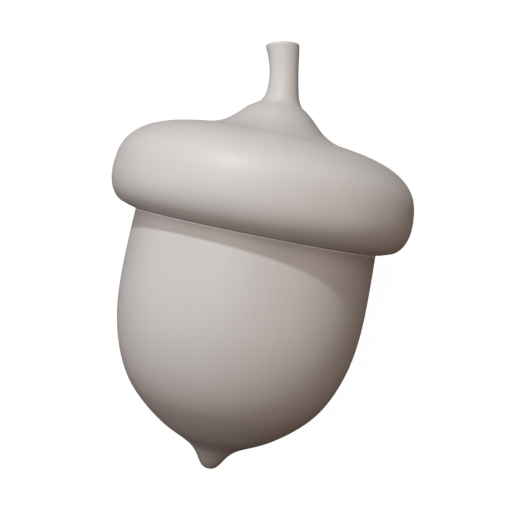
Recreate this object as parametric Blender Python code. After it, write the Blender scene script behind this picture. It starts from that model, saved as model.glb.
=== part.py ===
"""An acorn that lies on its side: a smooth nut in a thick smooth cup, and the cup's short bent stalk.

Lengths are in metres. Both pieces are turned upright on one axis, with the mouth of the cup at height zero,
the tip of the nut below it and the stalk above it. The acorn is then laid down on two small flat spots,
one on the nut's belly and one on the cup's rim.
"""

import math

import bmesh
import bpy
import numpy as np
from mathutils import Matrix, Vector

MM = 0.001

# Driving sizes. The stalk bends towards its way, which is counted from +X round the axis, and its
# sections turn by a share of the bend.
NUT_WIDTH = 22.0 * MM
DRAWN_WIDTH = 22.0
SEAT_GAP = 0.3 * MM
FLAT_DEPTH = 0.1 * MM
STALK_BEND = math.radians(19.0)
STALK_BEND_WAY = math.radians(161.6)
BEND_START = 11.0 * MM
SECTION_TURN = 0.67

# How finely the outlines and the turned surfaces are divided
SIDES = 60
OUTLINE_STEP = 0.85 * MM
STALK_STEP = 0.45 * MM
WELD = 0.001 * MM
SHARP_EDGE = math.radians(40.0)

# The search for the resting angle
STEEPEST_REST = math.radians(30.0)
HALVINGS = 40

# The block whose top is the ground
GROUND_SIDE = 80.0 * MM
GROUND_DEPTH = 10.0 * MM

# Outlines as (radius, height above the mouth), for a nut of the drawn width
TIP_OUTLINE = [
    (0.0, -21.75),
    (0.45, -21.68),
    (0.8, -21.4),
    (1.27, -20.7),
    (1.92, -19.92),
    (2.95, -19.22),
]
BELLY_OUTLINE = [
    (2.95, -19.22),
    (4.75, -18.25),
    (6.22, -17.22),
    (7.47, -16.12),
    (8.47, -15.0),
    (9.85, -12.45),
    (10.72, -9.2),
    (10.98, -4.8),
    (10.82, 0.0),
]
CROWN_OUTLINE = [
    (10.82, 0.0),
    (10.62, 1.6),
    (10.1, 3.1),
    (9.15, 4.5),
    (7.8, 5.65),
    (6.3, 6.4),
    (4.9, 6.8),
]
SCAR_OUTLINE = [
    (4.9, 6.8),
    (4.6, 7.0),
    (0.0, 7.1),
]
LIP_INNER = (11.12, 0.12)
RIM_OUTLINE = [
    LIP_INNER,
    (11.7, 0.31),
    (12.35, 0.59),
    (13.22, 1.72),
    (13.4, 3.9),
    (12.92, 5.7),
    (11.6, 7.12),
    (9.5, 8.08),
    (7.25, 8.57),
    (5.1, 9.06),
    (4.05, 9.7),
    (2.82, 10.85),
    (1.86, 11.52),
]
STALK_OUTLINE = [
    (1.86, 11.52),
    (1.54, 12.1),
    (1.37, 12.9),
    (1.28, 14.0),
    (1.3, 15.0),
    (1.41, 16.1),
]
CUT_OUTLINE = [
    (1.41, 16.1),
    (1.45, 16.6),
    (1.33, 16.78),
    (0.0, 16.84),
]

# Finish: colour (linear RGB), roughness
NUT_FINISH = ((0.52, 0.485, 0.46), 0.42)
CUP_FINISH = ((0.54, 0.51, 0.485), 0.5)


def clear_scene():
    """Empties the scene."""
    for thing in list(bpy.data.objects):
        bpy.data.objects.remove(thing, do_unlink=True)


def outline(points):
    """The points of a drawn outline at the acorn's own size, in metres."""
    return np.array(points) * NUT_WIDTH / DRAWN_WIDTH


def spline_slopes(places, values):
    """The slopes of a natural cubic spline at its points, from the usual system of equations."""
    count = len(places)
    steps = np.diff(places)[:, None]
    rises = np.diff(values, axis=0) / steps
    system = np.zeros((count, count))
    right = np.zeros((count, values.shape[1]))
    system[0, :2] = (2.0, 1.0)
    system[-1, -2:] = (1.0, 2.0)
    right[0] = 3.0 * rises[0]
    right[-1] = 3.0 * rises[-1]
    for i in range(1, count - 1):
        before, after = steps[i - 1, 0], steps[i, 0]
        system[i, i - 1 : i + 2] = (after, 2.0 * (before + after), before)
        right[i] = 3.0 * (after * rises[i - 1] + before * rises[i])
    return np.linalg.solve(system, right)


def smooth_curve(points, step):
    """Points about a step apart along a natural cubic spline through the given ones."""
    lengths = np.linalg.norm(np.diff(points, axis=0), axis=1)
    places = np.concatenate([[0.0], np.cumsum(lengths)])
    slopes = spline_slopes(places, points)
    wanted = np.linspace(0.0, places[-1], max(3, round(places[-1] / step) + 1))
    span = np.clip(np.searchsorted(places, wanted, side="right") - 1, 0, len(lengths) - 1)
    width = lengths[span][:, None]
    share = (wanted[:, None] - places[span][:, None]) / width
    start, end = points[span], points[span + 1]
    leave, arrive = slopes[span] * width, slopes[span + 1] * width
    bulge = (1.0 - share) * (leave - (end - start)) - share * (arrive - (end - start))
    return start + share * (end - start) + share * (1.0 - share) * bulge


def joined(*stretches):
    """One outline made of stretches that each start where the last one ends."""
    return np.concatenate([stretches[0]] + [stretch[1:] for stretch in stretches[1:]])


def pushed_out(points, distance):
    """An outline moved outwards, square to itself, by a distance."""
    along = np.gradient(points, axis=0)
    along /= np.linalg.norm(along, axis=1, keepdims=True)
    return points + distance * np.column_stack([along[:, 1], -along[:, 0]])


def nut_crown():
    """The part of the nut that the cup hides: a dome that ends in a round scar."""
    dome = smooth_curve(outline(CROWN_OUTLINE), OUTLINE_STEP)
    return joined(dome, outline(SCAR_OUTLINE))


def nut_profile():
    """The whole nut from the point of its tip to the middle of its scar."""
    belly = smooth_curve(joined(outline(TIP_OUTLINE), outline(BELLY_OUTLINE)), OUTLINE_STEP)
    return joined(belly, nut_crown())


def cup_cavity():
    """The hollow of the cup, from its middle down to the mouth: the nut's crown and a gap round it."""
    wall = pushed_out(nut_crown(), SEAT_GAP)
    wall[0] = outline(LIP_INNER)
    wall[-1, 0] = 0.0
    return wall[::-1]


def cup_outside():
    """The cup from its lip over the rim and the crown and up the stalk to the middle of the cut."""
    rim = smooth_curve(outline(RIM_OUTLINE), OUTLINE_STEP)
    stalk = smooth_curve(outline(STALK_OUTLINE), STALK_STEP)
    return joined(rim, stalk, outline(CUT_OUTLINE))


def cup_profile():
    """The whole cup as one outline that starts and ends on the axis."""
    return joined(cup_cavity(), cup_outside())


def turned(profile):
    """A closed body turned from an outline of (radius, height) that starts and ends on the axis."""
    body = bmesh.new()
    points = [body.verts.new((radius, 0.0, height)) for radius, height in profile]
    edges = [body.edges.new(pair) for pair in zip(points[:-1], points[1:])]
    bmesh.ops.spin(
        body,
        geom=points + edges,
        cent=(0.0, 0.0, 0.0),
        axis=(0.0, 0.0, 1.0),
        dvec=(0.0, 0.0, 0.0),
        angle=2.0 * math.pi,
        steps=SIDES,
        use_merge=True,
    )
    bmesh.ops.remove_doubles(body, verts=body.verts, dist=WELD)
    bmesh.ops.recalc_face_normals(body, faces=body.faces)
    return body


def bend_stalk(body):
    """Bends what is above the bend's start along an arc, and turns each section with it."""
    length = outline(CUT_OUTLINE)[-1, 1] - BEND_START
    arc_radius = length / STALK_BEND
    towards = Vector((math.cos(STALK_BEND_WAY), math.sin(STALK_BEND_WAY), 0.0))
    up = Vector((0.0, 0.0, 1.0))
    for vertex in body.verts:
        climb = vertex.co.z - BEND_START
        if climb <= 0.0:
            continue
        lean = climb / arc_radius
        centre = towards * arc_radius * (1.0 - math.cos(lean))
        centre += up * (BEND_START + arc_radius * math.sin(lean))
        across = Vector((vertex.co.x, vertex.co.y, 0.0))
        turn = Matrix.Rotation(lean * SECTION_TURN, 3, up.cross(towards))
        vertex.co = centre + turn @ across


def lowest(profile, angle):
    """The lowest height of a turned body laid on its side with its stalk end raised by an angle."""
    radius, height = profile.T
    return np.min(height * math.sin(angle) - radius * math.cos(angle))


def resting_angle():
    """The angle at which the nut's belly and the cup's rim touch the ground together, by halving."""
    nut, cup = nut_profile(), cup_outside()
    low, high = 0.0, STEEPEST_REST
    for _ in range(HALVINGS):
        middle = 0.5 * (low + high)
        if lowest(cup, middle) < lowest(nut, middle):
            low = middle
        else:
            high = middle
    return middle


def material(name, finish):
    """A plain material with a colour and a roughness."""
    colour, roughness = finish
    made = bpy.data.materials.new(name)
    made.use_nodes = True
    shader = made.node_tree.nodes["Principled BSDF"]
    shader.inputs["Base Color"].default_value = (*colour, 1.0)
    shader.inputs["Roughness"].default_value = roughness
    shader.inputs["Metallic"].default_value = 0.0
    made.diffuse_color = (*colour, 1.0)
    return made


def piece(name, body, finish, holder):
    """A named object from a body, with its own material, held by the empty that lays it down."""
    mesh = bpy.data.meshes.new(name)
    body.to_mesh(mesh)
    body.free()
    mesh.materials.append(material(name, finish))
    mesh.shade_smooth()
    mesh.set_sharp_from_angle(angle=SHARP_EDGE)
    made = bpy.data.objects.new(name, mesh)
    bpy.context.scene.collection.objects.link(made)
    made.parent = holder
    return made


def ground_block():
    """A block whose top is the ground, which cuts the flat spots."""
    block = bmesh.new()
    bmesh.ops.create_cube(block, size=1.0)
    bmesh.ops.scale(block, vec=(GROUND_SIDE, GROUND_SIDE, GROUND_DEPTH), verts=block.verts)
    bmesh.ops.translate(block, vec=(0.0, 0.0, -0.5 * GROUND_DEPTH), verts=block.verts)
    mesh = bpy.data.meshes.new("ground_cutter")
    block.to_mesh(mesh)
    block.free()
    cutter = bpy.data.objects.new("ground_cutter", mesh)
    cutter.hide_render = True
    cutter.display_type = "WIRE"
    bpy.context.scene.collection.objects.link(cutter)
    return cutter


def cut_flat(thing, cutter):
    """Takes off what would reach below the ground."""
    flat = thing.modifiers.new("flat_spot", "BOOLEAN")
    flat.operation = "DIFFERENCE"
    flat.solver = "EXACT"
    flat.object = cutter


def lay_down(holder, pieces):
    """Lays the acorn on its side, sunk by the depth of the flats and centred over the origin."""
    angle = resting_angle()
    turn = Matrix.Rotation(angle - 0.5 * math.pi, 4, "X")
    points = np.array([turn @ vertex.co for thing in pieces for vertex in thing.data.vertices])
    centre = 0.5 * (points.min(axis=0) + points.max(axis=0))
    ground = lowest(cup_outside(), angle) + FLAT_DEPTH
    holder.rotation_euler = turn.to_euler()
    holder.location = (-centre[0], -centre[1], -ground)


def main():
    clear_scene()
    holder = bpy.data.objects.new("acorn_axis", None)
    bpy.context.scene.collection.objects.link(holder)
    cup_body = turned(cup_profile())
    bend_stalk(cup_body)
    nut = piece("nut", turned(nut_profile()), NUT_FINISH, holder)
    cup = piece("cup", cup_body, CUP_FINISH, holder)
    lay_down(holder, [nut, cup])
    cutter = ground_block()
    for thing in (nut, cup):
        cut_flat(thing, cutter)


main()
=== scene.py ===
"""The looks of an acorn that lies on its side: its fine surfaces and finishes, and a small pale studio.

Lengths are in metres, but outlines are drawn in millimetres. Both pieces are worked out upright on one axis,
with the mouth of the cup at height zero, the nut's tip below it and the stalk above it. They are then laid
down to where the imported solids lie.
"""

import logging
import math
from dataclasses import dataclass
from enum import Enum

import bpy
import numpy as np
from mathutils import Matrix, Vector


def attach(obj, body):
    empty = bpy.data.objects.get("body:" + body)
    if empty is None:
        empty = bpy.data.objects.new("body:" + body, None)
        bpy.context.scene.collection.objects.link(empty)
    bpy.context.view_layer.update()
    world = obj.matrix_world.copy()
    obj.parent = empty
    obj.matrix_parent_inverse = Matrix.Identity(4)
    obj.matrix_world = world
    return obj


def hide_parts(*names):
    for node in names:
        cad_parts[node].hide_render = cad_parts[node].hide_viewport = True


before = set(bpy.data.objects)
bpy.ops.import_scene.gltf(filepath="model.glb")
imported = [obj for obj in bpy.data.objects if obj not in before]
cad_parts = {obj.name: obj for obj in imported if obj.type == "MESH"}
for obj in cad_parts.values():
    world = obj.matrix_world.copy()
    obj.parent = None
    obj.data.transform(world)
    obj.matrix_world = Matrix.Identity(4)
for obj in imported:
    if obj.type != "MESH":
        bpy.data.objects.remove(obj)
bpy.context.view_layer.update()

LOG = logging.getLogger("acorn")
MM = 0.001
FLAT_DEPTH = 0.1 * MM
STEEPEST_LIE = math.radians(45.0)
HALVINGS = 50
FEWEST_SAMPLES = 3
REFRACTION = 1.45
STREAK_DETAIL = 3.0
FINE_DETAIL = 2.0
TONE_FROM, TONE_TO = 0.3, 0.7
NAP_SHARE = 0.5
# The Mix node's sockets for colours. Those for numbers and vectors have the same names.
MIX_LOW, MIX_HIGH, MIX_RESULT = 6, 7, 2

Outline = tuple[tuple[float, float], ...]
Colour = tuple[float, float, float]
WHITE: Colour = (1.0, 1.0, 1.0)


class Slot(Enum):
    """The record's material slots."""

    NUT = "nut_shell"
    CUP = "cup_wood"


class Part(Enum):
    """The parts of a surface that have a colour of their own, named as their point attributes are. The tip
    end, the point, the stalk's foot and the lip's edge by the nut are painted shade, the pale line on the nut
    is a painted highlight, and the crown and the rim's lower side are painted light.
    """

    # Painted shade: the nut darker and browner towards its tip.
    PAINTED_SHADE_TIP_END = "painted_shade_tip_end"
    # Painted shade: the very end of the tip made dark brown.
    POINT = "point"
    # Painted highlight: a thin pale line on the nut where it leaves the cup.
    PAINTED_HIGHLIGHT_BAND = "painted_highlight_band"
    # Painted light: the cup's top between rim and stalk made lighter and warmer.
    PAINTED_LIGHT_CROWN = "crown"
    # Painted shade: the stalk's foot darkened where the lamps fall strongest.
    PAINTED_SHADE_FOOT = "foot"
    # Painted light: the rim paler on its lower side, lifting its shade.
    PAINTED_LIGHT_UNDERSIDE = "painted_light_underside"
    # Painted shade: the lip's last edge darkened where it meets the nut.
    PAINTED_SHADE_CREASE = "painted_shade_crease"
    HIDDEN = "hidden"
    CUT = "cut"
    PITH = "pith"


@dataclass(frozen=True)
class Finish:
    """The finish of one grown surface, in linear colours.

    Attributes:
        pale: the colour on the paler marks.
        deep: the colour on the deeper marks.
        smooth: the roughness on the smoother marks.
        rough: the roughness on the rougher marks.
        streaks: how close the lengthwise streaks lie round the piece.
        streak_length: the length of a streak in millimetres.
        streak_share: the share of the tone that the streaks give, from 0 to 1. Broad mottling gives the rest.
        mottle: the size of the mottling in millimetres.
        nap: the size of the finest roughness of the skin in millimetres.
        relief: the height of the marks.
        parts: the parts that have colours of their own, most of them painted light and shade.
    """

    pale: Colour
    deep: Colour
    smooth: float
    rough: float
    streaks: float
    streak_length: float
    streak_share: float
    mottle: float
    nap: float
    relief: float
    parts: tuple[Part, ...]


NUT_FINISH = Finish(
    pale=(0.509, 0.478, 0.455),
    deep=(0.491, 0.459, 0.435),
    smooth=0.41,
    rough=0.47,
    streaks=45.0,
    streak_length=7.0,
    streak_share=0.6,
    mottle=4.0,
    nap=0.25,
    relief=0.004 * MM,
    parts=(Part.PAINTED_SHADE_TIP_END, Part.POINT, Part.PAINTED_HIGHLIGHT_BAND, Part.HIDDEN),
)
CUP_FINISH = Finish(
    pale=(0.514, 0.484, 0.459),
    deep=(0.496, 0.463, 0.439),
    smooth=0.49,
    rough=0.57,
    streaks=24.0,
    streak_length=3.0,
    streak_share=0.35,
    mottle=3.0,
    nap=0.3,
    relief=0.006 * MM,
    parts=(Part.PAINTED_LIGHT_CROWN, Part.PAINTED_SHADE_FOOT, Part.PAINTED_LIGHT_UNDERSIDE, Part.PAINTED_SHADE_CREASE, Part.CUT, Part.PITH, Part.HIDDEN),
)
PART_COLOURS: dict[Part, Colour] = {
    # Painted shade: the nut darker and browner towards its tip.
    Part.PAINTED_SHADE_TIP_END: (0.478, 0.428, 0.405),
    # Painted shade: the very end of the tip made dark brown.
    Part.POINT: (0.335, 0.296, 0.276),
    # Painted highlight: a thin pale line on the nut where it leaves the cup.
    Part.PAINTED_HIGHLIGHT_BAND: (0.86, 0.81, 0.775),
    # Painted light: the cup's top between rim and stalk made lighter and warmer.
    Part.PAINTED_LIGHT_CROWN: (0.56, 0.505, 0.47),
    # Painted shade: the stalk's foot darkened where the lamps fall strongest.
    Part.PAINTED_SHADE_FOOT: (0.466, 0.430, 0.407),
    # Painted light: the rim paler on its lower side, lifting its shade.
    Part.PAINTED_LIGHT_UNDERSIDE: (0.635, 0.585, 0.55),
    # Painted shade on the lip's last edge, by the nut.
    Part.PAINTED_SHADE_CREASE: (0.23, 0.207, 0.195),
    Part.HIDDEN: (0.34, 0.29, 0.25),
    Part.CUT: (0.43, 0.38, 0.335),
    Part.PITH: (0.27, 0.225, 0.19),
}


def smooth_curve(points: Outline, step: float) -> np.ndarray:
    """A natural cubic spline through an outline's points, sampled evenly.

    With h the distance between two neighbouring points and m their slopes, the curve bends least when
    neighbouring slopes follow h1*m0 + 2(h0 + h1)*m1 + h0*m2 = 3(h1*rise0 + h0*rise1), and 2*m0 + m1 = 3*rise0
    at an end. Between two points, at a share s of the way, the curve is the straight line plus s(1 - s) times
    the bulge (1 - s)*leave - s*arrive, where leave and arrive are how far the slopes at the two ends differ
    from that line's.

    Args:
        points: the outline's points as (radius, height) in millimetres.
        step: the distance between samples in millimetres.

    Returns:
        The samples, one in each row.
    """
    known = np.array(points)
    steps = np.linalg.norm(np.diff(known, axis=0), axis=1)
    places = np.concatenate([[0.0], np.cumsum(steps)])
    rises = np.diff(known, axis=0) / steps[:, None]
    middle = np.concatenate([[2.0], 2.0 * (steps[:-1] + steps[1:]), [2.0]])
    below = np.concatenate([steps[1:], [1.0]])
    above = np.concatenate([[1.0], steps[:-1]])
    system = np.diag(middle) + np.diag(below, -1) + np.diag(above, 1)
    inner = steps[1:, None] * rises[:-1] + steps[:-1, None] * rises[1:]
    slopes = np.linalg.solve(system, 3.0 * np.concatenate([rises[:1], inner, rises[-1:]]))
    wanted = np.linspace(0.0, places[-1], max(FEWEST_SAMPLES, round(places[-1] / step) + 1))
    span = np.clip(np.searchsorted(places, wanted, side="right") - 1, 0, len(steps) - 1)
    width = steps[span, None]
    share = (wanted[:, None] - places[span, None]) / width
    leave = (slopes[span] - rises[span]) * width
    arrive = (slopes[span + 1] - rises[span]) * width
    bulge = (1.0 - share) * leave - share * arrive
    return known[span] + share * rises[span] * width + share * (1.0 - share) * bulge


def joined(*stretches: np.ndarray) -> np.ndarray:
    """One outline made of stretches that each start where the last one ends."""
    return np.concatenate([stretches[0]] + [stretch[1:] for stretch in stretches[1:]])


def ramp(values: np.ndarray, start: float, end: float) -> np.ndarray:
    """A share that goes evenly from 0 where a value is start to 1 where it is end."""
    return np.clip((values - start) / (end - start), 0.0, 1.0)


def finer_between(profile: np.ndarray, low: float, high: float, step: float) -> np.ndarray:
    """A rising outline, drawn with closer points between two heights.

    Args:
        profile: (radius, height) in millimetres, with heights that only rise.
        low: the height where the closer points start.
        high: the height where they end.
        step: the height between them.

    Returns:
        The outline with its closer points.
    """
    heights = np.arange(low, high, step)
    radii = np.interp(heights, profile[:, 1], profile[:, 0])
    below = profile[profile[:, 1] < low - 0.5 * step]
    above = profile[profile[:, 1] > high]
    return np.concatenate([below, np.column_stack([radii, heights]), above])


def pushed_out(points: np.ndarray, distance: float) -> np.ndarray:
    """An outline moved outwards, square to itself.

    Args:
        points: the outline, from the mouth up to the axis.
        distance: how far it moves, in millimetres.

    Returns:
        The moved outline.
    """
    along = np.gradient(points, axis=0)
    along /= np.linalg.norm(along, axis=1, keepdims=True)
    return points + distance * np.column_stack([along[:, 1], -along[:, 0]])


@dataclass
class Surface:
    """A closed turned surface, upright, before it is laid down.

    Attributes:
        points: one point in each row, in metres: the rings in order, then the two end points.
        quads: four point numbers for each face between two rings.
        fans: three point numbers for each face round an end point.
        growth: for each point, the cosine and sine of its place round the axis and its distance along the
            outline in millimetres, so that marks follow the surface with no seam.
        shares: for each part, how much each point belongs to it, from 0 to 1.
    """

    points: np.ndarray
    quads: np.ndarray
    fans: np.ndarray
    growth: np.ndarray
    shares: dict[Part, np.ndarray]


def turned(profile: np.ndarray, sides: int, shares: dict[Part, np.ndarray]) -> Surface:
    """A profile carried round the axis, with one point at each end.

    A point of the grid at turn t and profile point (r, h) is (r cos t, r sin t, h).

    Args:
        profile: (radius, height) in millimetres, from one end on the axis, out and up to the other.
        sides: how many columns the grid has round the axis.
        shares: for each part, how much each profile point belongs to it.

    Returns:
        The closed surface with its faces pointing out.
    """
    turn = np.arange(sides) * 2.0 * math.pi / sides
    ring = profile[1:-1]
    lengths = np.linalg.norm(np.diff(profile, axis=0), axis=1)
    along = np.concatenate([[0.0], np.cumsum(lengths)])
    cosines = np.tile(np.cos(turn), len(ring))
    sines = np.tile(np.sin(turn), len(ring))
    radii = np.repeat(ring[:, 0], sides)
    grid = np.column_stack([radii * cosines, radii * sines, np.repeat(ring[:, 1], sides)])
    ends = np.array([[0.0, 0.0, profile[0, 1]], [0.0, 0.0, profile[-1, 1]]])
    growth = np.column_stack([cosines, sines, np.repeat(along[1:-1], sides)])
    end_growth = np.array([[0.0, 0.0, along[0]], [0.0, 0.0, along[-1]]])
    index = np.arange(len(ring) * sides).reshape(len(ring), sides)
    beside = np.roll(index, -1, axis=1)
    quads = np.stack([index[:-1], beside[:-1], beside[1:], index[1:]], axis=-1).reshape(-1, 4)
    first, last = len(grid), len(grid) + 1
    start_fan = np.column_stack([np.full(sides, first), beside[0], index[0]])
    end_fan = np.column_stack([np.full(sides, last), index[-1], beside[-1]])
    spread = {
        part: np.concatenate([np.repeat(share[1:-1], sides), share[[0, -1]]])
        for part, share in shares.items()
    }
    return Surface(
        points=np.concatenate([grid, ends]) * MM,
        quads=quads,
        fans=np.concatenate([start_fan, end_fan]),
        growth=np.concatenate([growth, end_growth]),
        shares=spread,
    )


@dataclass(frozen=True)
class Lie:
    """How the acorn lies: turned down about the line across it, then moved to its place.

    Attributes:
        angle: how far the stalk end is raised from level, in radians.
        mouth: where the centre of the cup's mouth is.
    """

    angle: float
    mouth: tuple[float, float, float]

    def matrix(self) -> np.ndarray:
        """The turn from upright to lying, as three rows."""
        rise, run = math.sin(self.angle), math.cos(self.angle)
        return np.array([[1.0, 0.0, 0.0], [0.0, rise, run], [0.0, -run, rise]])

    def laid(self, points: np.ndarray) -> np.ndarray:
        """Upright points laid down, with what would be below the surface pressed flat on to it.

        Args:
            points: upright points, one in each row.

        Returns:
            The points where they lie, none lower than height zero.
        """
        lying = points @ self.matrix().T + np.array(self.mouth)
        lying[:, 2] = np.maximum(lying[:, 2], 0.0)
        return lying


class Wiring:
    """Places nodes in one node tree and joins their sockets."""

    def __init__(self, tree: bpy.types.NodeTree) -> None:
        """Keeps the tree and empties it."""
        self.tree = tree
        tree.nodes.clear()

    def place(
        self, kind: str, inputs: dict[str | int, object] | None = None, **settings: object
    ) -> bpy.types.Node:
        """Places one node.

        Args:
            kind: the node's type name.
            inputs: for a socket's name or number, its value or the output that is joined to it.
            settings: the node's own properties.

        Returns:
            The node.
        """
        node = self.tree.nodes.new(kind)
        for name, setting in settings.items():
            setattr(node, name, setting)
        for name, given in (inputs or {}).items():
            if isinstance(given, bpy.types.NodeSocket):
                self.tree.links.new(given, node.inputs[name])
            else:
                node.inputs[name].default_value = given
        return node

    def blend(self, share: bpy.types.NodeSocket, low: object, high: object) -> bpy.types.NodeSocket:
        """A colour between two colours or colour outputs, by a share from 0 to 1."""
        inputs = {"Factor": share, MIX_LOW: low, MIX_HIGH: high}
        return self.place("ShaderNodeMix", inputs, data_type="RGBA").outputs[MIX_RESULT]


def solid(colour: Colour) -> tuple[float, float, float, float]:
    """A colour with full opacity."""
    return (*colour, 1.0)


def new_group(name: str, inputs: dict[str, str], outputs: dict[str, str]) -> bpy.types.NodeTree:
    """An empty shader node group.

    Args:
        name: the group's name.
        inputs: for each input's name, its socket type.
        outputs: for each output's name, its socket type.

    Returns:
        The group's tree.
    """
    group = bpy.data.node_groups.new(name, "ShaderNodeTree")
    for socket, kind in inputs.items():
        group.interface.new_socket(name=socket, in_out="INPUT", socket_type=kind)
    for socket, kind in outputs.items():
        group.interface.new_socket(name=socket, in_out="OUTPUT", socket_type=kind)
    return group


def growth_marks() -> bpy.types.NodeTree:
    """Node group for the marks that growth leaves: fine streaks from end to end, mottling and a fine nap.

    The streaks are noise on the growth coordinate, drawn out along the surface. The tone is the mix of the
    streaks and the mottling by Streak share, with its contrast raised. The height is half the tone and half
    the nap.

    Returns:
        The group, with outputs Tone and Height from 0 to 1.
    """
    number, vector = "NodeSocketFloat", "NodeSocketVector"
    group = new_group(
        "growth_marks",
        {
            "Growth": vector,
            "Place": vector,
            "Streaks": number,
            "Streak length": number,
            "Streak share": number,
            "Mottle": number,
            "Nap": number,
        },
        {"Tone": number, "Height": number},
    )
    wiring = Wiring(group)
    given = wiring.place("NodeGroupInput").outputs
    per_length = wiring.place("ShaderNodeMath", {0: 1.0, 1: given["Streak length"]}, operation="DIVIDE")
    stretch = wiring.place(
        "ShaderNodeCombineXYZ",
        {"X": given["Streaks"], "Y": given["Streaks"], "Z": per_length.outputs[0]},
    )
    drawn = wiring.place(
        "ShaderNodeVectorMath", {0: given["Growth"], 1: stretch.outputs[0]}, operation="MULTIPLY"
    )
    streaks = wiring.place(
        "ShaderNodeTexNoise", {"Vector": drawn.outputs[0], "Scale": 1.0, "Detail": STREAK_DETAIL}
    )
    in_mm = wiring.place(
        "ShaderNodeVectorMath", {0: given["Place"], "Scale": 1.0 / MM}, operation="SCALE"
    )
    per_mottle = wiring.place("ShaderNodeMath", {0: 1.0, 1: given["Mottle"]}, operation="DIVIDE")
    mottle = wiring.place(
        "ShaderNodeTexNoise",
        {"Vector": in_mm.outputs[0], "Scale": per_mottle.outputs[0], "Detail": FINE_DETAIL},
    )
    per_nap = wiring.place("ShaderNodeMath", {0: 1.0, 1: given["Nap"]}, operation="DIVIDE")
    nap = wiring.place(
        "ShaderNodeTexNoise",
        {"Vector": in_mm.outputs[0], "Scale": per_nap.outputs[0], "Detail": FINE_DETAIL},
    )
    mixed = wiring.place(
        "ShaderNodeMix",
        {"Factor": given["Streak share"], "A": mottle.outputs[0], "B": streaks.outputs[0]},
    )
    tone = wiring.place(
        "ShaderNodeMapRange", {"Value": mixed.outputs[0], "From Min": TONE_FROM, "From Max": TONE_TO}
    )
    height = wiring.place(
        "ShaderNodeMix", {"Factor": NAP_SHARE, "A": tone.outputs[0], "B": nap.outputs[0]}
    )
    wiring.place("NodeGroupOutput", {"Tone": tone.outputs[0], "Height": height.outputs[0]})
    return group


def grown_material(name: str, finish: Finish, marks: bpy.types.NodeTree) -> bpy.types.Material:
    """The material of a grown surface.

    The marks' tone goes from the deep to the pale colour and from rough to smooth. The finish's parts then
    blend in their colours, most of them painted light and shade, one after another, by the shares kept at the
    points.

    Args:
        name: the material's name.
        finish: its colours, roughness and marks.
        marks: the group that draws the marks.

    Returns:
        The material.
    """
    material = bpy.data.materials.new(name)
    material.use_nodes = True
    wiring = Wiring(material.node_tree)
    growth = wiring.place("ShaderNodeAttribute", attribute_name="growth")
    place = wiring.place("ShaderNodeTexCoord")
    drawn = wiring.place(
        "ShaderNodeGroup",
        {
            "Growth": growth.outputs["Vector"],
            "Place": place.outputs["Object"],
            "Streaks": finish.streaks,
            "Streak length": finish.streak_length,
            "Streak share": finish.streak_share,
            "Mottle": finish.mottle,
            "Nap": finish.nap,
        },
        node_tree=marks,
    )
    tone = drawn.outputs["Tone"]
    colour = wiring.blend(tone, solid(finish.deep), solid(finish.pale))
    for part in finish.parts:
        share = wiring.place("ShaderNodeAttribute", attribute_name=part.value)
        colour = wiring.blend(share.outputs["Fac"], colour, solid(PART_COLOURS[part]))
    roughness = wiring.place(
        "ShaderNodeMapRange", {"Value": tone, "To Min": finish.rough, "To Max": finish.smooth}
    )
    bump = wiring.place("ShaderNodeBump", {"Height": drawn.outputs["Height"], "Distance": finish.relief})
    shader = wiring.place(
        "ShaderNodeBsdfPrincipled",
        {
            "Base Color": colour,
            "Roughness": roughness.outputs[0],
            "Normal": bump.outputs[0],
            "IOR": REFRACTION,
        },
    )
    wiring.place("ShaderNodeOutputMaterial", {"Surface": shader.outputs[0]})
    return material


def dressed(name: str, surface: Surface, lie: Lie, material: bpy.types.Material) -> bpy.types.Object:
    """A smooth mesh object of a surface where it lies, with its material and its point attributes.

    Args:
        name: the object's name.
        surface: the upright surface.
        lie: how it is laid down.
        material: its material.

    Returns:
        The object, at the origin, with its place in its mesh.
    """
    mesh = bpy.data.meshes.new(name)
    faces = surface.quads.tolist() + surface.fans.tolist()
    mesh.from_pydata(lie.laid(surface.points).tolist(), [], faces)
    growth = mesh.attributes.new("growth", "FLOAT_VECTOR", "POINT")
    growth.data.foreach_set("vector", surface.growth.astype(np.float32).ravel())
    for part, share in surface.shares.items():
        kept = mesh.attributes.new(part.value, "FLOAT", "POINT")
        kept.data.foreach_set("value", share.astype(np.float32))
    mesh.materials.append(material)
    mesh.shade_smooth()
    piece = bpy.data.objects.new(name, mesh)
    bpy.context.scene.collection.objects.link(piece)
    return piece


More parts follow.
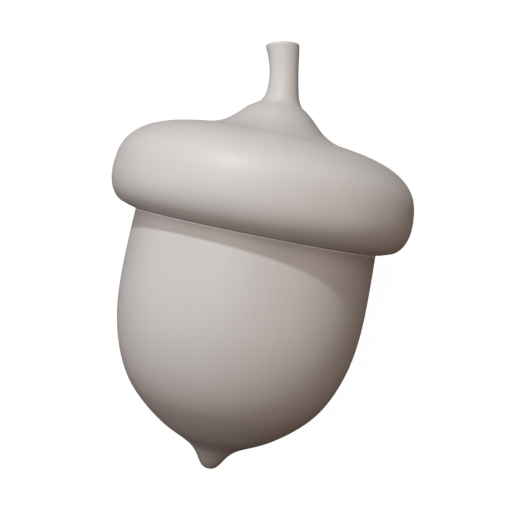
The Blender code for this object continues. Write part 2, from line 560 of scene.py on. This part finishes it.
@dataclass
class Nut:
    """The smooth nut: its pointed tip, its belly, and the crown with a round scar that the cup hides.

    Attributes:
        tip: outline of the tip, from its point, as (radius, height) in millimetres.
        belly: outline of the belly up to the mouth.
        crown: outline of the dome inside the cup.
        scar: outline of the scar, to its middle.
        painted_shade_tip_end: heights between which painted shade darkens and browns the nut towards its tip.
        point: heights between which the tip's very end is painted dark brown, as painted shade.
        painted_highlight_band: heights between which a thin pale line is painted on the nut where it leaves
            the cup, a painted highlight.
        band_edge: how softly the pale line ends.
        band_rise: how far the pale line stands out.
        hidden_from: height where the part that never saw light starts.
        hidden_full: height where it has its full colour.
        step: distance between the grid's rings in millimetres.
        fine_step: the same distance at the band.
        sides: how many columns the grid has.
    """

    tip: Outline = (
        (0.0, -21.75),
        (0.45, -21.68),
        (0.8, -21.4),
        (1.27, -20.7),
        (1.92, -19.92),
        (2.95, -19.22),
    )
    belly: Outline = (
        (4.75, -18.25),
        (6.22, -17.22),
        (7.47, -16.12),
        (8.47, -15.0),
        (9.85, -12.45),
        (10.72, -9.2),
        (10.98, -4.8),
        (10.82, 0.0),
    )
    crown: Outline = (
        (10.82, 0.0),
        (10.62, 1.6),
        (10.1, 3.1),
        (9.15, 4.5),
        (7.8, 5.65),
        (6.3, 6.4),
        (4.9, 6.8),
    )
    scar: Outline = ((4.9, 6.8), (4.6, 7.0), (0.0, 7.1))
    painted_shade_tip_end: tuple[float, float] = (-11.5, -14.2)
    point: tuple[float, float] = (-19.8, -21.4)
    painted_highlight_band: tuple[float, float] = (0.0, 0.16)
    band_edge: float = 0.03
    band_rise: float = 0.02
    hidden_from: float = 0.3
    hidden_full: float = 0.9
    step: float = 0.2
    fine_step: float = 0.02
    sides: int = 256

    def outside(self) -> np.ndarray:
        """The outline that shows, from the tip to the mouth."""
        return smooth_curve(self.tip + self.belly, self.step)

    def inside(self) -> np.ndarray:
        """The outline that the cup hides, from the mouth to the middle of the scar."""
        return joined(smooth_curve(self.crown, self.step), np.array(self.scar))

    def surface(self) -> Surface:
        """The whole nut as a turned surface.

        Returns:
            The surface, with closer rings and a slight rise at the pale line of painted highlight.
        """
        whole = joined(self.outside(), self.inside())
        profile = finer_between(whole, self.painted_highlight_band[0] - self.step, self.painted_highlight_band[1] + self.step, self.fine_step)
        heights = profile[:, 1]
        low, high = self.painted_highlight_band
        # Share of the thin line of painted highlight below the cup, which also lifts the outline slightly.
        painted_highlight_band = ramp(heights, low - self.band_edge, low) * ramp(heights, high + self.band_edge, high)
        profile[:, 0] += self.band_rise * painted_highlight_band
        shares = {
            # Painted shade, darker and browner towards the tip.
            Part.PAINTED_SHADE_TIP_END: ramp(heights, *self.painted_shade_tip_end),
            # Painted shade at the tip's very end.
            Part.POINT: ramp(heights, *self.point),
            Part.PAINTED_HIGHLIGHT_BAND: painted_highlight_band,
            Part.HIDDEN: ramp(heights, self.hidden_from, self.hidden_full),
        }
        return turned(profile, self.sides, shares)

    def build(self, lie: Lie, marks: bpy.types.NodeTree) -> bpy.types.Object:
        """Builds and dresses the nut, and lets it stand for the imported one.

        Args:
            lie: how the acorn lies.
            marks: the node group of growth marks.

        Returns:
            The nut.
        """
        material = grown_material("nut_skin", NUT_FINISH, marks)
        piece = dressed("nut_surface", self.surface(), lie, material)
        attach(piece, "root")
        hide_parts("nut")
        return piece


@dataclass
class Cup:
    """The thick cup: its hollow, its lip, the rolled rim, the crown and the short bent stalk.

    Attributes:
        gap: how far the hollow stands off the nut's crown, in millimetres.
        lip_room: how far above the lip's start the hollow's own outline ends, so that the two meet smoothly.
        lip: outline of the lip that meets the nut, from the hollow out to the rim.
        painted_shade_crease: radii between which painted shade darkens the lip towards the nut, where the two
            meet in shade.
        painted_light_underside: radii between which the rim is painted paler below, painted light that lifts
            the shade beneath it.
        crown: radii between which the crown is painted lighter and warmer, painted light where it lies in
            shade.
        foot: radii between which that painted light gives way to painted shade on the stalk's foot, where the
            lamps fall strongest.
        foot_top: heights between which that painted shade fades up the stalk.
        rim: outline from the lip over the rim and the crown to the foot of the stalk.
        rim_middle: height where the rim is widest.
        stalk: outline of the stalk.
        cut: outline of the cut end, to its middle.
        cut_edge: radii between which the cut end takes its own colour.
        pith: radii between which that gives way to the darker pith.
        bend_start: height where the bend starts, in millimetres.
        bend: how far the stalk bends, in radians.
        bend_way: which way it bends, in radians from the line across.
        section_turn: the share of the bend that the stalk's sections turn by.
        step: distance between the grid's rings in millimetres.
        fine_step: the same distance at the lip.
        cut_step: the same distance at the cut end.
        sides: how many columns the grid has.
    """

    gap: float = 0.3
    lip_room: float = 0.4
    lip: Outline = (
        (11.02, 0.5),
        (10.93, 0.28),
        (10.88, 0.165),
        (10.89, 0.12),
        (10.95, 0.112),
        (11.12, 0.145),
        (11.36, 0.205),
    )
    painted_shade_crease: tuple[float, float] = (11.42, 11.05)
    painted_light_underside: tuple[float, float] = (12.95, 12.15)
    crown: tuple[float, float] = (11.9, 9.8)
    foot: tuple[float, float] = (5.7, 4.4)
    foot_top: tuple[float, float] = (14.5, 12.0)
    rim: Outline = (
        (11.36, 0.205),
        (11.83, 0.365),
        (12.3, 0.545),
        (13.22, 1.72),
        (13.4, 3.9),
        (12.92, 5.7),
        (11.6, 7.12),
        (9.5, 8.08),
        (7.25, 8.57),
        (5.1, 9.06),
        (4.05, 9.7),
        (2.82, 10.85),
        (1.86, 11.52),
    )
    rim_middle: float = 3.5
    stalk: Outline = (
        (1.86, 11.52),
        (1.54, 12.1),
        (1.37, 12.9),
        (1.28, 14.0),
        (1.3, 15.0),
        (1.41, 16.1),
    )
    cut: Outline = (
        (1.41, 16.1),
        (1.47, 16.6),
        (1.45, 16.76),
        (1.35, 16.82),
        (1.15, 16.77),
        (0.5, 16.69),
        (0.0, 16.67),
    )
    cut_edge: tuple[float, float] = (1.3, 1.15)
    pith: tuple[float, float] = (0.5, 0.25)
    bend_start: float = 11.0
    bend: float = math.radians(19.0)
    bend_way: float = math.radians(161.6)
    section_turn: float = 0.67
    step: float = 0.2
    fine_step: float = 0.03
    cut_step: float = 0.06
    sides: int = 256

    def hollow(self, nut: Nut) -> np.ndarray:
        """The outline of the hollow, from its middle down to the lip: the nut's crown and a gap round it.

        Args:
            nut: the nut that the hollow fits.

        Returns:
            The outline in millimetres.
        """
        wall = pushed_out(nut.inside(), self.gap)
        wall[-1, 0] = 0.0
        kept = wall[wall[:, 1] > self.lip[0][1] + self.lip_room]
        return np.concatenate([kept[::-1], [self.lip[0]]])

    def bent(self, points: np.ndarray) -> np.ndarray:
        """The stalk bent along an arc, each section turned with it by a share of the bend.

        A point at climb c above the bend's start moves to the arc's point at lean c / R, with R the arc's
        radius. What it had across the axis is turned by the share of the lean, so that its part along the
        bend's way leans down by the sine of that turn.

        Args:
            points: upright points in metres.

        Returns:
            The points after the bend.
        """
        start = self.bend_start * MM
        arc_radius = (self.cut[-1][1] - self.bend_start) * MM / self.bend
        lean = np.maximum(points[:, 2] - start, 0.0) / arc_radius
        towards = np.array([math.cos(self.bend_way), math.sin(self.bend_way)])
        reach = points[:, :2] @ towards
        turn = lean * self.section_turn
        shift = arc_radius * (1.0 - np.cos(lean)) + reach * (np.cos(turn) - 1.0)
        height = start + arc_radius * np.sin(lean) - reach * np.sin(turn)
        flat = points[:, :2] + shift[:, None] * towards
        height = np.where(points[:, 2] > start, height, points[:, 2])
        return np.column_stack([flat, height])

    def surface(self, nut: Nut) -> Surface:
        """The whole cup as a turned surface with its stalk bent.

        Args:
            nut: the nut that the hollow fits.

        Returns:
            The surface.
        """
        stretches = [
            self.hollow(nut),
            smooth_curve(self.lip, self.fine_step),
            smooth_curve(self.rim, self.step),
            smooth_curve(self.stalk, self.step),
            smooth_curve(self.cut, self.cut_step),
        ]
        profile = joined(*stretches)
        hollow_end, _, _, stalk_end, _ = np.cumsum([len(stretch) - 1 for stretch in stretches])
        number = np.arange(len(profile))
        radii, heights = profile.T
        outside = number >= hollow_end
        cut = number > stalk_end
        low = outside & (heights < self.rim_middle)
        high = outside & (heights >= self.rim_middle)
        # Share of the stalk's foot that takes painted shade.
        painted_shade_foot_share = ramp(radii, *self.foot)
        shares = {
            # Painted light on the cup's top between rim and stalk.
            Part.PAINTED_LIGHT_CROWN: high * ramp(radii, *self.crown) * (1.0 - painted_shade_foot_share),
            Part.PAINTED_SHADE_FOOT: high * painted_shade_foot_share * ramp(heights, *self.foot_top),
            # Painted light on the rim's lower side.
            Part.PAINTED_LIGHT_UNDERSIDE: low * ramp(radii, *self.painted_light_underside),
            # Painted shade on the lip's last edge, by the nut.
            Part.PAINTED_SHADE_CREASE: low * ramp(radii, *self.painted_shade_crease),
            Part.CUT: cut * ramp(radii, *self.cut_edge),
            Part.PITH: cut * ramp(radii, *self.pith),
            Part.HIDDEN: 1.0 * ~outside,
        }
        made = turned(profile, self.sides, shares)
        made.points = self.bent(made.points)
        return made

    def build(self, nut: Nut, lie: Lie, marks: bpy.types.NodeTree) -> bpy.types.Object:
        """Builds and dresses the cup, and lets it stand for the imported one.

        Args:
            nut: the nut that the hollow fits.
            lie: how the acorn lies.
            marks: the node group of growth marks.

        Returns:
            The cup.
        """
        material = grown_material("cup_skin", CUP_FINISH, marks)
        piece = dressed("cup_surface", self.surface(nut), lie, material)
        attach(piece, "root")
        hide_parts("cup")
        return piece


def lowest(points: np.ndarray, angle: float) -> float:
    """The lowest height that upright points come to when the stalk end is raised by an angle."""
    return float(np.min(math.sin(angle) * points[:, 2] - math.cos(angle) * points[:, 1]))


def resting_lie(nut: np.ndarray, cup: np.ndarray) -> Lie:
    """How the acorn lies when its nut and its cup both touch the surface.

    The angle is found by halving: while the cup is the lower of the two, the stalk end has to rise. The acorn
    is then centred over the origin, and let down by the depth of its flat spots.

    Args:
        nut: the nut's upright points.
        cup: the cup's upright points.

    Returns:
        The angle and the place of the mouth.
    """
    level, steep = 0.0, STEEPEST_LIE
    for _ in range(HALVINGS):
        angle = 0.5 * (level + steep)
        if lowest(cup, angle) < lowest(nut, angle):
            level = angle
        else:
            steep = angle
    turned_down = np.concatenate([nut, cup]) @ Lie(angle, (0.0, 0.0, 0.0)).matrix().T
    low, high = turned_down.min(axis=0), turned_down.max(axis=0)
    across, along, _ = -0.5 * (low + high)
    return Lie(angle=angle, mouth=(float(across), float(along), float(-low[2] - FLAT_DEPTH)))


@dataclass(frozen=True)
class Lamp:
    """A soft round lamp that faces the acorn.

    Attributes:
        name: the lamp's name.
        way: the direction from the acorn to the lamp, as x, y and z.
        power: its power in watts.
        colour: its colour.
        width: its width across.
        distance: how far away it is.
    """

    name: str
    way: tuple[float, float, float]
    power: float
    colour: Colour
    width: float = 0.45
    distance: float = 0.5

    def build(self, target: Vector) -> bpy.types.Object:
        """Places the lamp.

        Args:
            target: the point that it faces.

        Returns:
            The lamp.
        """
        data = bpy.data.lights.new(self.name, "AREA")
        data.shape = "DISK"
        data.size = self.width
        data.energy = self.power
        data.color = self.colour
        lamp = bpy.data.objects.new(self.name, data)
        way = Vector(self.way).normalized()
        lamp.location = target + way * self.distance
        lamp.rotation_euler = way.to_track_quat("Z", "Y").to_euler()
        lamp.visible_camera = False
        bpy.context.scene.collection.objects.link(lamp)
        return lamp


@dataclass
class Studio:
    """The pale floor, the lamps, the soft light all round, and the camera that looks down on the acorn.

    Attributes:
        image_width: the photograph's width in pixels.
        focal_pixels: the camera's focal length in pixels.
        mouth_pixel: where the photograph shows the centre of the cup's mouth, across and down.
        nut_half: half the nut's width.
        nut_half_pixels: the same in pixels of the photograph.
        lean: how far the acorn leans to the right in the picture, in radians.
        tip_away: how far its stalk end is turned towards the camera, in radians.
        sensor: the camera's sensor width in millimetres.
        nearest: how near the camera sees.
        farthest: how far it sees.
        floor_half: half the floor's width.
        floor_white: how bright the floor is where it gives back none of the lamps' light.
        floor_light: how bright the lamps make an open white floor.
        near_shade: how much of the lamps' light the floor gives back under the acorn.
        far_shade: how much it gives back round that.
        near_reach: how far the shade under the acorn reaches, across and along. The acorn hides all of it
            from the camera.
        near_full: the share of that reach where the shade starts to fade.
        far_reach: how many times that reach the shade round it has.
        soft_light: the colour of the light all round.
        lamps: the lamps.
    """

    image_width: float = 512.0
    focal_pixels: float = 1000.0
    mouth_pixel: tuple[float, float] = (255.68, 232.0)
    nut_half: float = 11.0 * MM
    nut_half_pixels: float = 123.4
    lean: float = 0.198
    tip_away: float = 0.057
    sensor: float = 36.0
    nearest: float = 1.0 * MM
    farthest: float = 10.0
    floor_half: float = 3.0
    floor_white: float = 1.03
    floor_light: float = 1.1
    near_shade: float = 0.6
    far_shade: float = 0.045
    near_reach: tuple[float, float] = (12.0 * MM, 15.5 * MM)
    near_full: float = 0.35
    far_reach: float = 4.0
    soft_light: Colour = (0.04, 0.028, 0.022)
    lamps: tuple[Lamp, ...] = (
        Lamp("key_lamp", (-0.339, 0.556, 0.758), 1.68, (0.827, 0.932, 1.0), width=0.03),
        Lamp("broad_lamp", (-0.397, 0.097, 0.913), 1.59, (1.0, 0.957, 0.934)),
        Lamp("left_lamp", (-0.994, 0.001, 0.142), 0.73, (1.0, 0.955, 0.985)),
        Lamp("right_lamp", (0.351, 0.638, 0.686), 0.42, (1.0, 0.865, 0.845)),
        Lamp("low_lamp", (0.816, -0.195, 0.545), 0.48, (1.0, 0.80, 0.67)),
    )

    @property
    def pixel_size(self) -> float:
        """What one pixel spans at the mouth."""
        return self.nut_half / self.nut_half_pixels

    def axes(self) -> np.ndarray:
        """The acorn's own axes as the camera sees them: across, away from the camera, and along.

        The camera's axes are right, up and towards the viewer. The line away from the viewer is made square
        to the line along the acorn.

        Returns:
            The three axes as columns.
        """
        side, rise = math.sin(self.lean), math.cos(self.lean)
        nearer = math.sin(self.tip_away)
        along = np.array([side * math.cos(self.tip_away), rise * math.cos(self.tip_away), nearer])
        away = nearer * along - np.array([0.0, 0.0, 1.0])
        away /= np.linalg.norm(away)
        return np.column_stack([np.cross(away, along), away, along])

    def build_camera(self, lie: Lie) -> bpy.types.Object:
        """Places the camera so that the lying acorn shows as in the photograph.

        Args:
            lie: how the acorn lies.

        Returns:
            The camera.
        """
        turn = lie.matrix() @ self.axes().T
        centre = 0.5 * self.image_width
        across = (self.mouth_pixel[0] - centre) * self.pixel_size
        up = (centre - self.mouth_pixel[1]) * self.pixel_size
        mouth_seen = np.array([across, up, -self.focal_pixels * self.pixel_size])
        data = bpy.data.cameras.new("camera")
        data.sensor_width = self.sensor
        data.lens = self.sensor * self.focal_pixels / self.image_width
        data.clip_start = self.nearest
        data.clip_end = self.farthest
        camera = bpy.data.objects.new("camera", data)
        place = Matrix(turn.tolist()).to_4x4()
        place.translation = Vector(np.array(lie.mouth) - turn @ mouth_seen)
        camera.matrix_world = place
        bpy.context.scene.collection.objects.link(camera)
        bpy.context.scene.camera = camera
        return camera

    def floor_share(self, wiring: Wiring) -> bpy.types.NodeSocket:
        """How much of the lamps' light the floor gives back from place to place.

        Distance is counted in reaches from the middle of the acorn. The share is the near shade in the
        middle, falls to the far shade at one reach and to nothing at far_reach. The floor's height is zero,
        so it adds nothing to the distance.

        Args:
            wiring: where the nodes are placed.

        Returns:
            The share as an output.
        """
        place = wiring.place("ShaderNodeTexCoord").outputs["Object"]
        reach = (*self.near_reach, 1.0)
        counted = wiring.place("ShaderNodeVectorMath", {0: place, 1: reach}, operation="DIVIDE").outputs[0]
        distance = wiring.place("ShaderNodeVectorMath", {0: counted}, operation="LENGTH").outputs["Value"]
        stretches = (
            (self.near_full, 1.0, self.near_shade - self.far_shade),
            (1.0, self.far_reach, self.far_shade),
        )
        near, far = [
            wiring.place(
                "ShaderNodeMapRange",
                {"Value": distance, "From Min": start, "From Max": end, "To Min": most, "To Max": 0.0},
                interpolation_type="SMOOTHSTEP",
            ).outputs[0]
            for start, end, most in stretches
        ]
        return wiring.place("ShaderNodeMath", {0: near, 1: far}, operation="ADD").outputs[0]

    def build_floor(self) -> bpy.types.Object:
        """Builds a wide pale floor that is shaded under the acorn and doesn't light it from below.

        Returns:
            The floor.
        """
        half = self.floor_half
        mesh = bpy.data.meshes.new("floor")
        corners = [(-half, -half, 0.0), (half, -half, 0.0), (half, half, 0.0), (-half, half, 0.0)]
        mesh.from_pydata(corners, [], [(0, 1, 2, 3)])
        material = bpy.data.materials.new("floor_white")
        material.use_nodes = True
        wiring = Wiring(material.node_tree)
        share = self.floor_share(wiring)
        lit = wiring.place("ShaderNodeBsdfDiffuse", {"Color": share})
        rest = wiring.place(
            "ShaderNodeMath", {0: share, 1: -self.floor_light, 2: self.floor_white}, operation="MULTIPLY_ADD"
        )
        glow = wiring.place("ShaderNodeEmission", {"Color": solid(WHITE), "Strength": rest.outputs[0]})
        both = wiring.place("ShaderNodeAddShader", {0: lit.outputs[0], 1: glow.outputs[0]})
        clear = wiring.place("ShaderNodeBsdfTransparent")
        side = wiring.place("ShaderNodeNewGeometry").outputs["Backfacing"]
        seen = wiring.place("ShaderNodeMixShader", {0: side, 1: both.outputs[0], 2: clear.outputs[0]})
        wiring.place("ShaderNodeOutputMaterial", {"Surface": seen.outputs[0]})
        mesh.materials.append(material)
        floor = bpy.data.objects.new("floor", mesh)
        floor.visible_diffuse = False
        floor.visible_glossy = False
        floor.visible_shadow = False
        bpy.context.scene.collection.objects.link(floor)
        return floor

    def build_world(self) -> bpy.types.World:
        """Builds soft warm light from all round, with white where the camera sees past the floor.

        Returns:
            The world.
        """
        world = bpy.data.worlds.new("studio")
        world.use_nodes = True
        wiring = Wiring(world.node_tree)
        seen = wiring.place("ShaderNodeLightPath").outputs["Is Camera Ray"]
        soft = wiring.place("ShaderNodeBackground", {"Color": solid(self.soft_light)})
        white = wiring.place("ShaderNodeBackground", {"Color": solid(WHITE)})
        both = wiring.place("ShaderNodeMixShader", {0: seen, 1: soft.outputs[0], 2: white.outputs[0]})
        wiring.place("ShaderNodeOutputWorld", {"Surface": both.outputs[0]})
        bpy.context.scene.world = world
        return world

    def build(self, lie: Lie) -> None:
        """Builds the whole studio round the acorn.

        Args:
            lie: how the acorn lies.
        """
        bpy.context.scene.view_settings.view_transform = "Standard"
        self.build_camera(lie)
        self.build_floor()
        self.build_world()
        for lamp in self.lamps:
            lamp.build(Vector(lie.mouth))


def main() -> None:
    """Builds the acorn and the studio."""
    logging.basicConfig(level=logging.INFO, format="%(name)s: %(message)s")
    marks = growth_marks()
    nut, cup = Nut(), Cup()
    lie = resting_lie(nut.surface().points, cup.surface(nut).points)
    LOG.info("lies at %.4f degrees with its mouth at %s", math.degrees(lie.angle), lie.mouth)
    for piece in (nut.build(lie, marks), cup.build(nut, lie, marks)):
        LOG.info("%s has %d faces", piece.name, len(piece.data.polygons))
    Studio().build(lie)


if __name__ == "__main__":
    main()
